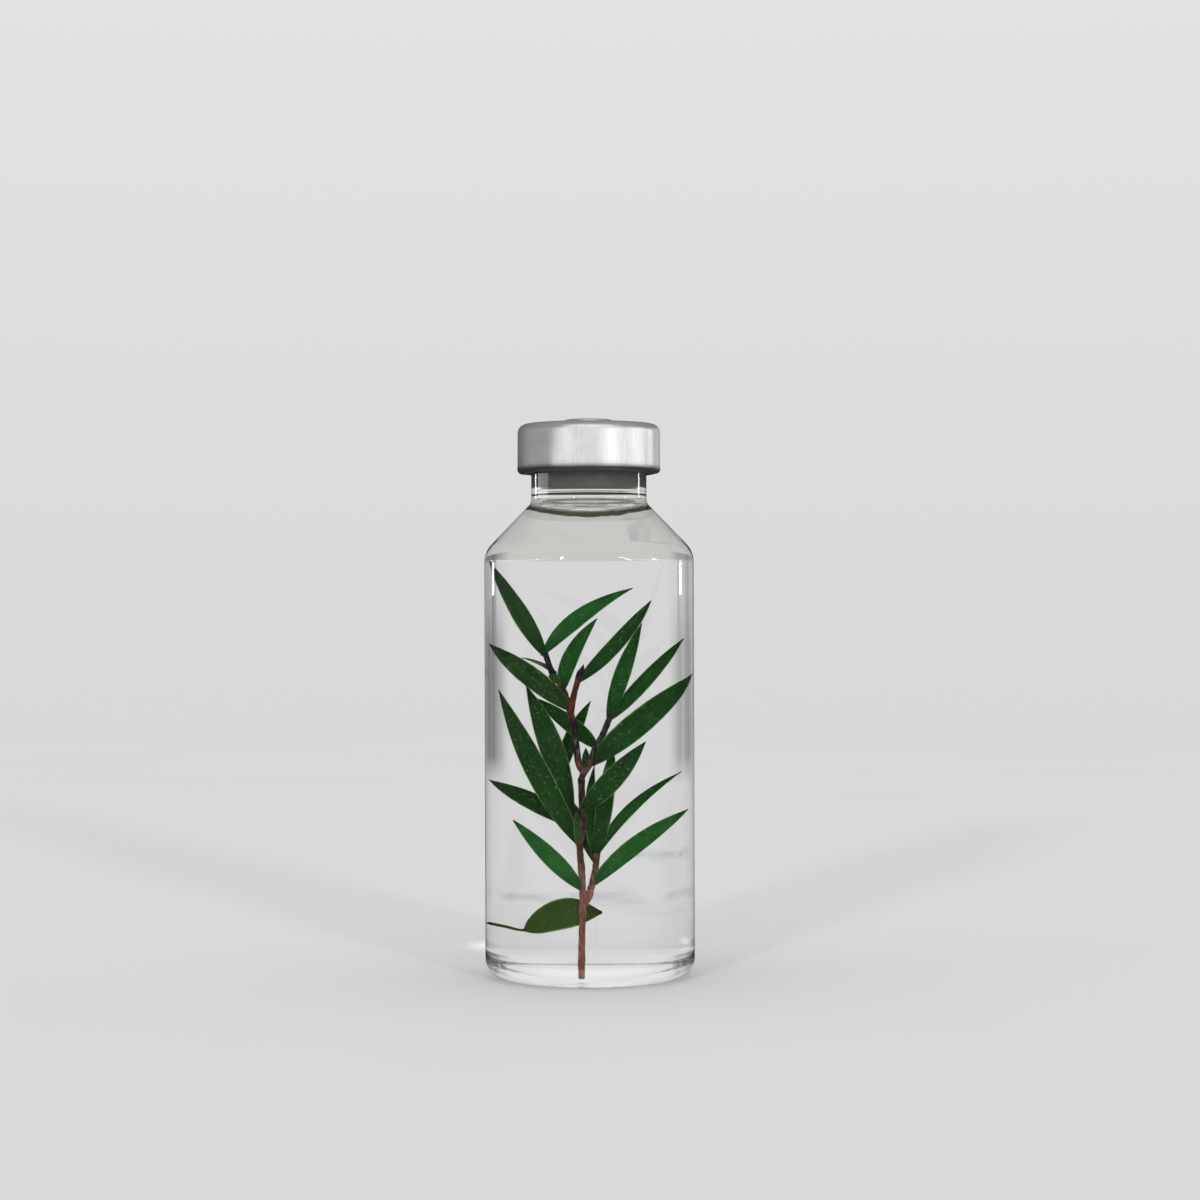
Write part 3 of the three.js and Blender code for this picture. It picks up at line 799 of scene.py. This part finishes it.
class Nodes:
    """A material's node tree with short calls to add and link nodes."""

    def __init__(self, name):
        self.material = bpy.data.materials.new(name)
        self.material.use_nodes = True
        self.tree = self.material.node_tree
        self.shader = self.tree.nodes["Principled BSDF"]
        self.output = self.tree.nodes["Material Output"]

    def add(self, kind, **settings):
        node = self.tree.nodes.new(kind)
        for key, value in settings.items():
            setattr(node, key, value)
        return node

    def link(self, source, target):
        self.tree.links.new(source, target)

    def feed(self, name, source):
        self.link(source, self.shader.inputs[name])

    def glow(self, colour):
        """The material as a plain glow of that colour."""
        node = self.add("ShaderNodeEmission")
        self.link(colour, node.inputs["Color"])
        self.link(node.outputs["Emission"], self.output.inputs["Surface"])
        return self.material

    def split(self, vector):
        node = self.add("ShaderNodeSeparateXYZ")
        self.link(vector, node.inputs["Vector"])
        return node.outputs

    def set(self, **values):
        for key, value in values.items():
            self.shader.inputs[key.replace("_", " ")].default_value = value

    def place(self, scale=(1, 1, 1)):
        """Object coordinates in millimetres, stretched by scale."""
        source = self.add("ShaderNodeTexCoord")
        mapping = self.add("ShaderNodeMapping")
        mapping.inputs["Scale"].default_value = [s / MM for s in scale]
        self.link(source.outputs["Object"], mapping.inputs["Vector"])
        return mapping.outputs["Vector"]

    def noise(self, vector, scale, detail=3, roughness=0.5):
        node = self.add("ShaderNodeTexNoise")
        node.inputs["Scale"].default_value = scale
        node.inputs["Detail"].default_value = detail
        node.inputs["Roughness"].default_value = roughness
        self.link(vector, node.inputs["Vector"])
        return node.outputs["Fac"]

    def ramp(self, value, *stops):
        node = self.add("ShaderNodeValToRGB")
        elements = node.color_ramp.elements
        while len(elements) < len(stops):
            elements.new(1)
        for element, (place, colour) in zip(elements, stops):
            element.position = place
            element.color = (*colour, 1)
        self.link(value, node.inputs["Fac"])
        return node.outputs["Color"]

    def math(self, operation, first, second=0.0, third=0.0):
        node = self.add("ShaderNodeMath", operation=operation)
        for socket, value in zip(node.inputs, (first, second, third)):
            if isinstance(value, (int, float)):
                socket.default_value = value
            else:
                self.link(value, socket)
        return node.outputs["Value"]

    def mix(self, factor, first, second):
        node = self.add("ShaderNodeMix", data_type="RGBA")
        sockets = (node.inputs["Factor"], node.inputs[6], node.inputs[7])
        for socket, value in zip(sockets, (factor, first, second)):
            if isinstance(value, (int, float)):
                socket.default_value = value
            elif isinstance(value, tuple):
                socket.default_value = (*value, 1)
            else:
                self.link(value, socket)
        return node.outputs[2]

    def bump(self, height, strength, distance):
        node = self.add("ShaderNodeBump")
        node.inputs["Strength"].default_value = strength
        node.inputs["Distance"].default_value = distance * MM
        self.link(height, node.inputs["Height"])
        self.feed("Normal", node.outputs["Normal"])


def clear_material(name, ior, tint, glow=0.0):
    """Clear glass or liquid, with the faint long waves of drawn tubing. A glow stands for the
    light that thick glass gathers."""
    nodes = Nodes(name)
    nodes.set(Emission_Color=(*WHITE, 1), Emission_Strength=glow)
    nodes.set(Base_Color=(*tint, 1), Roughness=0.0, IOR=ior, Transmission_Weight=1.0)
    nodes.bump(nodes.noise(nodes.place((0.35, 0.35, 0.03)), 1, 1), 0.25, 0.02)
    return nodes.material


def shoulder_material():
    """Clear glass where it slopes, with a painted grey shade and a painted dark olive crescent of
    shade where the liquid's edge shows below the neck. The crescent dips towards the front."""
    nodes = Nodes("shoulder_glass")
    nodes.set(Roughness=0.0, IOR=GLASS_IOR, Transmission_Weight=1.0)
    split = nodes.split(nodes.place())
    forward = nodes.math("MAXIMUM", nodes.math("DIVIDE", split["Y"], -CRESCENT_RADIUS), 0)
    dip = nodes.math("MULTIPLY", nodes.math("POWER", forward, 2), CRESCENT_DIP)
    height = nodes.math("SUBTRACT", nodes.math("ADD", split["Z"], dip), CRESCENT_LOW)
    uneven = nodes.noise(nodes.place((0.8, 0.8, 2)), 1, 3)
    height = nodes.math("ADD", height, nodes.math("MULTIPLY", uneven, CRESCENT_UNEVEN))
    # Painted shade: the band of the dark crescent
    inside = nodes.ramp(
        height, (0.1, BLACK), (0.17, WHITE), (0.6, WHITE), (0.8, grey(0.8)), (1.0, BLACK)
    )
    colour = nodes.mix(inside, SHOULDER_PAINTED_SHADE, CRESCENT_PAINTED_SHADE)
    nodes.feed("Base Color", colour)
    return nodes.material


def stippled_glowing_material():
    """The hollow under the base, which the mould leaves finely rough, with a painted glow for
    the light gathered under the vial.
    """
    nodes = Nodes("stippled_glowing_glass")
    nodes.set(Base_Color=(*WHITE, 1), IOR=GLASS_IOR, Transmission_Weight=1.0)
    speckle = nodes.noise(nodes.place(), 4, 2)
    nodes.feed("Roughness", nodes.math("MULTIPLY_ADD", speckle, 0.2, 0.35))
    # Painted light: the hollow glows, though it is no lamp
    nodes.set(Emission_Color=(*WHITE, 1), Emission_Strength=STIPPLE_GLOW)
    return nodes.material


def liquid_surface_material(name, tint):
    """The liquid where it meets the air: clear where it is flat; at its steep edge a dark tint is
    painted shade.
    """
    nodes = Nodes(name)
    nodes.set(Base_Color=(*tint, 1), Roughness=0.0, IOR=LIQUID_IOR, Transmission_Weight=1.0)
    return nodes.material


def liquid_side_material():
    """The side and floor of the liquid, where the glass's wet face already bends the light."""
    nodes = Nodes("liquid_side")
    see_through = nodes.add("ShaderNodeBsdfTransparent")
    nodes.link(see_through.outputs["BSDF"], nodes.output.inputs["Surface"])
    return nodes.material


def rubber_material():
    """Dark grey rubber, a little cloudy and finely grained."""
    nodes = Nodes("grey_rubber")
    place = nodes.place()
    cloud = nodes.noise(place, 0.5, 4)
    colour = nodes.ramp(cloud, (0.3, (0.12, 0.12, 0.108)), (0.7, (0.155, 0.155, 0.143)))
    nodes.feed("Base Color", colour)
    nodes.feed("Roughness", nodes.math("MULTIPLY_ADD", cloud, 0.2, 0.5))
    nodes.bump(nodes.noise(place, 9, 2), 0.3, 0.02)
    return nodes.material


def aluminium_material():
    """Rolled sheet, drawn into a cup: fine turned lines, upright scuffs, clouding, and painted
    shade darkening the rolled edge along the crimp."""
    nodes = Nodes("satin_aluminium")
    turned = nodes.noise(nodes.place((0.25, 0.25, 9)), 1, 3)
    scuffs = nodes.noise(nodes.place((5, 5, 0.35)), 1, 4, 0.7)
    cloud = nodes.noise(nodes.place(), 0.45, 4, 0.6)
    clean = nodes.ramp(cloud, (0.3, (0.7, 0.702, 0.71)), (0.7, (0.78, 0.78, 0.785)))
    scuff_share = nodes.ramp(scuffs, (0.4, grey(0.3)), (0.62, BLACK))
    scuffed = nodes.mix(scuff_share, clean, grey(0.45))
    # Painted shade: darker towards the rolled edge at the bottom of the skirt
    split = nodes.split(nodes.place())
    above = nodes.math("SUBTRACT", split["Z"], CAP_BOTTOM)
    above = nodes.math("MULTIPLY", above, CRIMP_SHADE_FADE)
    crimp_shade = nodes.ramp(above, (0.39, WHITE), (0.7, grey(0.16)), (1.0, BLACK))
    crimp_shaded = nodes.mix(nodes.math("MULTIPLY", crimp_shade, 0.85), scuffed, grey(0.03))
    nodes.feed("Base Color", crimp_shaded)
    blend = nodes.math("MULTIPLY_ADD", cloud, 0.12, 0.24)
    nodes.feed("Roughness", nodes.math("MULTIPLY_ADD", turned, 0.08, blend))
    nodes.set(Metallic=0.8)
    height = nodes.math("MULTIPLY_ADD", turned, 0.5, nodes.noise(nodes.place(), 6, 2))
    nodes.bump(nodes.math("MULTIPLY_ADD", scuffs, 0.6, height), 0.3, 0.02)
    return nodes.material


def leaf_material():
    """Waxy leaf: a faint midrib, fine long veins, pale specks, a thin bright rim painted as a
    highlight, a dark foot and point, and its own tone for each leaf."""
    nodes = Nodes("leaf_green")
    uv = nodes.add("ShaderNodeUVMap", uv_map="UVMap")
    split = nodes.split(uv.outputs["UV"])
    across, along = split["X"], split["Y"]
    tone = nodes.add("ShaderNodeAttribute", attribute_name="tone").outputs["Fac"]
    off_middle = nodes.math("ABSOLUTE", nodes.math("SUBTRACT", across, 0.5))
    rib = nodes.ramp(off_middle, (0.01, WHITE), (0.045, BLACK))
    # Painted highlight: a thin bright band along both edges of each blade
    rim = nodes.ramp(off_middle, (0.44, BLACK), (0.475, WHITE))

    fibre_place = nodes.add("ShaderNodeMapping")
    fibre_place.inputs["Scale"].default_value = (26, 2.5, 1)
    nodes.link(uv.outputs["UV"], fibre_place.inputs["Vector"])
    fibres = nodes.noise(fibre_place.outputs["Vector"], 1, 3)
    place = nodes.place()
    blotch = nodes.noise(place, 0.42, 4, 0.65)
    specks = nodes.noise(place, 4.5, 1)
    broken = nodes.noise(place, 1.1, 3)

    off_mean = nodes.math("SUBTRACT", blotch, 0.5)
    vivid = nodes.math("ADD", tone, nodes.math("MULTIPLY", off_mean, BLOTCH_SHARE))
    base = nodes.ramp(vivid, *LEAF_GREENS)
    streaked = nodes.mix(nodes.math("MULTIPLY", fibres, 0.5), base, VEIN_GREEN)
    ribbed = nodes.mix(nodes.math("MULTIPLY", rib, 0.12), streaked, RIB_GREEN)
    speck_share = nodes.ramp(specks, (0.67, BLACK), (0.71, grey(0.8)))
    speckled = nodes.mix(speck_share, ribbed, SPECK_GREEN)
    rim_highlight_share = nodes.math("MULTIPLY", rim, nodes.ramp(broken, (0.35, grey(0.15)), (0.65, WHITE)))
    rim_highlighted = nodes.mix(nodes.math("MULTIPLY", rim_highlight_share, 0.85), speckled, RIM_HIGHLIGHT_GREEN)
    foot = nodes.ramp(along, (0.02, WHITE), (0.3, BLACK))
    shaded = nodes.mix(nodes.math("MULTIPLY", foot, 0.6), rim_highlighted, FOOT_GREEN)
    root = nodes.ramp(along, (0.01, WHITE), (0.07, BLACK))
    tip = nodes.ramp(along, (0.93, BLACK), (0.985, WHITE))
    ends = nodes.math("MAXIMUM", root, nodes.math("MULTIPLY", tip, 0.9))
    browned = nodes.mix(nodes.math("MULTIPLY", ends, 0.8), shaded, TIP_BROWN)
    nodes.feed("Base Color", browned)
    nodes.feed("Roughness", nodes.math("MULTIPLY_ADD", blotch, 0.25, 0.32))
    nodes.set(Specular_IOR_Level=0.05)
    nodes.bump(nodes.math("MULTIPLY_ADD", fibres, 0.7, blotch), 0.5, 0.04)
    return nodes.material


def bark_material():
    """Young bark: russet at the foot, at the forks and on new growth, dark between, with pale
    threads painted in as highlights."""
    nodes = Nodes("bark_brown")
    grain = nodes.noise(nodes.place((5, 5, 0.6)), 1, 4, 0.65)
    patches = nodes.noise(nodes.place((1, 1, 0.45)), 0.5, 3)
    split = nodes.split(nodes.place())
    height = nodes.math("DIVIDE", split["Z"], BARK_SPAN)
    height = nodes.math("MULTIPLY_ADD", patches, 0.06, height)
    russet_at = nodes.ramp(height, *[(place, grey(share)) for place, share in RUSSET_AT])
    old_russet = nodes.ramp(grain, (0.3, (0.09, 0.028, 0.018)), (0.5, (0.21, 0.08, 0.055)),
                            (0.72, (0.4, 0.24, 0.19)))
    young_red = nodes.ramp(grain, (0.35, (0.03, 0.01, 0.006)), (0.65, (0.16, 0.04, 0.018)))
    young_at = nodes.ramp(height, (0.7, BLACK), (0.78, WHITE))
    russet = nodes.mix(young_at, old_russet, young_red)
    # Painted highlight: the palest grey of the dark bark, in threads along the grain
    dark = nodes.ramp(grain, (0.38, (0.01, 0.008, 0.008)), (0.56, (0.028, 0.024, 0.024)),
                      (0.7, (0.16, 0.15, 0.16)))
    nodes.feed("Base Color", nodes.mix(russet_at, dark, russet))
    nodes.feed("Roughness", nodes.math("MULTIPLY_ADD", grain, 0.3, 0.45))
    nodes.set(Specular_IOR_Level=0.05)
    nodes.bump(grain, 0.5, 0.06)
    return nodes.material


def floor_material():
    """Pale card, with a painted glow for light gathered under the vial and a painted spot of light
    behind it.
    """
    nodes = Nodes("pale_floor")
    cloud = nodes.noise(nodes.place((0.01, 0.01, 0.01)), 1, 2)
    colour = nodes.ramp(cloud, (0.3, grey(0.745)), (0.7, grey(0.76)))
    nodes.feed("Base Color", colour)
    distance = nodes.add("ShaderNodeVectorMath", operation="LENGTH")
    nodes.link(nodes.place((1 / BODY_RADIUS, 1 / BODY_RADIUS, 1)), distance.inputs[0])
    # Painted light: a glow under the vial and a spot behind it
    glow = nodes.ramp(distance.outputs["Value"], (0.84, grey(0.12)), (0.95, BLACK))
    spot = nodes.add("ShaderNodeVectorMath", operation="DISTANCE")
    nodes.link(nodes.place((1 / SPOT_REACH[0], 1 / SPOT_REACH[1], 1)), spot.inputs[0])
    centre = [place / reach for place, reach in zip(SPOT_CENTRE, SPOT_REACH)]
    spot.inputs[1].default_value = (*centre, 0)
    gathered = nodes.ramp(spot.outputs["Value"], (0.25, grey(0.25)), (1.0, BLACK))
    nodes.feed("Emission Color", nodes.math("ADD", glow, gathered))
    nodes.set(Roughness=0.9, Specular_IOR_Level=0.1, Emission_Strength=1.0)
    return nodes.material


def wall_material():
    """The surrounding tent: lit from outside, a little brighter towards the top."""
    nodes = Nodes("light_tent")
    split = nodes.split(nodes.place((MM, MM, MM)))
    tone = nodes.ramp(split["Z"], (0.0, grey(0.69)), (0.35, grey(0.745)), (1.0, grey(0.85)))
    return nodes.glow(tone)


def panel_material(name, low_tones, high_tones):
    """Greys across the panel, in two rows that blend upwards, and a fade into the floor."""
    nodes = Nodes(name)
    uv = nodes.add("ShaderNodeUVMap", uv_map="UVMap")
    split = nodes.split(uv.outputs["UV"])
    rows = []
    for tones in (low_tones, high_tones):
        stops = [(place, grey(tone)) for place, tone in tones]
        rows.append(nodes.ramp(split["X"], *stops))
    upward = nodes.ramp(split["Y"], (0.51, BLACK), (0.72, WHITE))
    foot = nodes.ramp(split["Y"], (0.0, WHITE), (0.1, BLACK))
    blend = nodes.mix(upward, *rows)
    return nodes.glow(nodes.mix(foot, blend, grey(0.66)))


def build_strip(name, rows, start, end, steps, material):
    """A strip bent round the vial behind it, between two angles from +Y, that only its glass
    shows. Its two rows are (radius, height) in millimetres."""
    vertices = []
    for radius, height in rows:
        for i in range(steps + 1):
            angle = math.radians(start + (end - start) * i / steps)
            vertices.append((radius * math.sin(angle), radius * math.cos(angle), height))
    row = steps + 1
    faces = [(i, i + 1, i + row + 1, i + row) for i in range(steps)]
    piece = make_object(name, vertices, faces, [material])
    uv = piece.data.uv_layers.new(name="UVMap")
    for loop in piece.data.loops:
        across, along = divmod(loop.vertex_index, row)
        uv.data[loop.index].uv = (along / steps, across)
    piece.visible_camera = False
    piece.visible_diffuse = False
    piece.visible_glossy = False
    piece.visible_shadow = False


def floor_band_material():
    """A faint grey band, uneven along its length and soft at both sides."""
    nodes = Nodes("floor_grey_band")
    cloud = nodes.noise(nodes.place((0.04, 0.04, 1)), 1, 3)
    uv = nodes.add("ShaderNodeUVMap", uv_map="UVMap")
    split = nodes.split(uv.outputs["UV"])
    off_middle = nodes.math("ABSOLUTE", nodes.math("SUBTRACT", split["Y"], 0.5))
    soft_sides = nodes.ramp(off_middle, (0.1, WHITE), (0.5, BLACK))
    clouds = nodes.ramp(cloud, (0.38, BLACK), (0.62, WHITE))
    strength = nodes.math("MULTIPLY", soft_sides, clouds)
    return nodes.glow(nodes.mix(strength, grey(0.69), FLOOR_BAND_TONE))


def build_stage():
    """A round floor under a closed pale tent. Neither is seen in reflections, where a dim room
    is seen instead."""
    flat, bend, top = FLOOR_FLAT_RADIUS / MM, COVE_RADIUS / MM, WALL_TOP / MM
    rings = [(flat, 0), (FLOOR_RING, 0), (0, 0)]
    floor = revolve("studio_floor", rings, [floor_material()], segments=STAGE_SEGMENTS)
    wall = [(0, top + bend), *arc((flat, top), bend, 90, 0, 16), *arc((flat, bend), bend, 0, -90, 24)]
    tent = revolve("studio_tent", wall, [wall_material()], segments=STAGE_SEGMENTS)
    floor.visible_glossy = False
    tent.visible_glossy = False
    tent.visible_shadow = False


def build_room_in_glass():
    """The panels and grey floor bands behind the vial that give its glass its edge bands."""
    reach = PANEL_DISTANCE / MM
    rows = ((reach, PANEL_FOOT), (reach, PANEL_HEIGHT / MM))
    for side, start, end, low_tones, high_tones in PANELS:
        material = panel_material(f"panel_{side}_tone", low_tones, high_tones)
        build_strip(f"panel_{side}", rows, start, end, PANEL_STEPS, material)
    band_material = floor_band_material()
    for name, near, far, start, end in FLOOR_BANDS:
        rows = ((near, FLOOR_BAND_HEIGHT), (far, FLOOR_BAND_HEIGHT))
        build_strip(name, rows, start, end, FLOOR_BAND_STEPS, band_material)


def build_world():
    """The dim room that gloss reflects: pale overhead and below, paler behind than in front."""
    world = bpy.data.worlds.new("studio_world")
    world.use_nodes = True
    tree = world.node_tree
    source = tree.nodes.new("ShaderNodeTexCoord")
    split = tree.nodes.new("ShaderNodeSeparateXYZ")
    tree.links.new(source.outputs["Generated"], split.inputs["Vector"])
    total = None
    for axis, low, high, most in WORLD_FADES:
        fade = tree.nodes.new("ShaderNodeMapRange")
        fade.inputs["From Min"].default_value = low
        fade.inputs["From Max"].default_value = high
        fade.inputs["To Max"].default_value = most
        tree.links.new(split.outputs[axis], fade.inputs["Value"])
        summed = tree.nodes.new("ShaderNodeMath")
        summed.operation = "ADD"
        summed.inputs[0].default_value = WORLD_LEAST
        if total:
            tree.links.new(total, summed.inputs[0])
        tree.links.new(fade.outputs["Result"], summed.inputs[1])
        total = summed.outputs["Value"]
    tree.links.new(total, tree.nodes["Background"].inputs["Strength"])
    world.cycles_visibility.diffuse = False
    bpy.context.scene.world = world


def away_from_vial(azimuth, elevation):
    """The direction of a lamp. Azimuth is from the front, positive to the right."""
    side, up = math.radians(azimuth), math.radians(elevation)
    return Vector((math.sin(side) * math.cos(up), -math.cos(side) * math.cos(up), math.sin(up)))


def sun(name, azimuth, elevation, spread, strength):
    """A far lamp that lights everything but isn't seen in gloss."""
    data = bpy.data.lights.new(name, "SUN")
    data.angle = math.radians(spread)
    data.energy = strength
    light = bpy.data.objects.new(name, data)
    towards = -away_from_vial(azimuth, elevation)
    light.rotation_euler = towards.to_track_quat("-Z", "Y").to_euler()
    light.visible_glossy = False
    bpy.context.scene.collection.objects.link(light)


def soft_box(name, azimuth, elevation, size, glow, only, roll=0, tint=WHITE):
    """A flat lamp a metre away with the radiance glow, which lights one object only."""
    data = bpy.data.lights.new(name, "AREA")
    data.shape = "RECTANGLE"
    data.size, data.size_y = size
    data.energy = glow * math.pi * size[0] * size[1]
    data.color = tint
    light = bpy.data.objects.new(name, data)
    away = away_from_vial(azimuth, elevation)
    light.location = Vector(LAMPS_ROUND) + away
    turned = (-away).to_track_quat("-Z", "Y") @ Quaternion((0, 0, 1), math.radians(roll))
    light.rotation_euler = turned.to_euler()
    group = bpy.data.collections.new(name)
    group.objects.link(only)
    light.light_linking.receiver_collection = group
    light.visible_transmission = False
    bpy.context.scene.collection.objects.link(light)


def build_lights(vial, cap):
    for lamp in SUNS:
        sun(*lamp)
    for lamp in CAP_LAMPS:
        soft_box(*lamp, cap)
    for lamp in GLINTS:
        soft_box(*lamp, vial)
    for lamp in TINTED_STRIPS:
        soft_box(*lamp, vial, tint=GLINT_TINT)
    soft_box(*STREAK, vial, roll=STREAK_ROLL)


def build_camera():
    data = bpy.data.cameras.new("camera")
    data.lens = CAMERA_FOCAL
    data.shift_y = CAMERA_SHIFT
    data.clip_start, data.clip_end = CAMERA_SEES
    camera = bpy.data.objects.new("camera", data)
    camera.location = CAMERA_AT
    camera.rotation_euler = (math.radians(90), math.radians(CAMERA_ROLL), 0)
    bpy.context.scene.collection.objects.link(camera)
    bpy.context.scene.camera = camera


def set_render_look():
    """Plain tones, and enough bounces for light to find its way out of the thick glass."""
    scene = bpy.context.scene
    scene.view_settings.view_transform = "Standard"
    scene.cycles.max_bounces = GLASS_BOUNCES
    scene.cycles.transmission_bounces = GLASS_BOUNCES
    scene.cycles.glossy_bounces = 20
    scene.cycles.diffuse_bounces = 4
    scene.cycles.transparent_max_bounces = 24
    scene.cycles.use_denoising = True


build_camera()
vial = build_vial([
    clear_material("vial_glass", GLASS_IOR, CLEAR_TINT),
    clear_material("wet_glass", GLASS_IOR / LIQUID_IOR, WHITE),
    stippled_glowing_material(),
    shoulder_material(),
    clear_material("heel_glass", GLASS_IOR, WHITE, HEEL_GLOW),
])
build_liquid([
    liquid_surface_material("liquid_surface", WHITE),
    liquid_side_material(),
    liquid_surface_material("meniscus_painted_shade", MENISCUS_PAINTED_SHADE),
])
build_stopper(rubber_material())
cap = build_cap(aluminium_material())
build_stems(bark_material())
build_leaves(leaf_material())
build_stage()
build_room_in_glass()
build_world()
build_lights(vial, cap)
set_render_look()
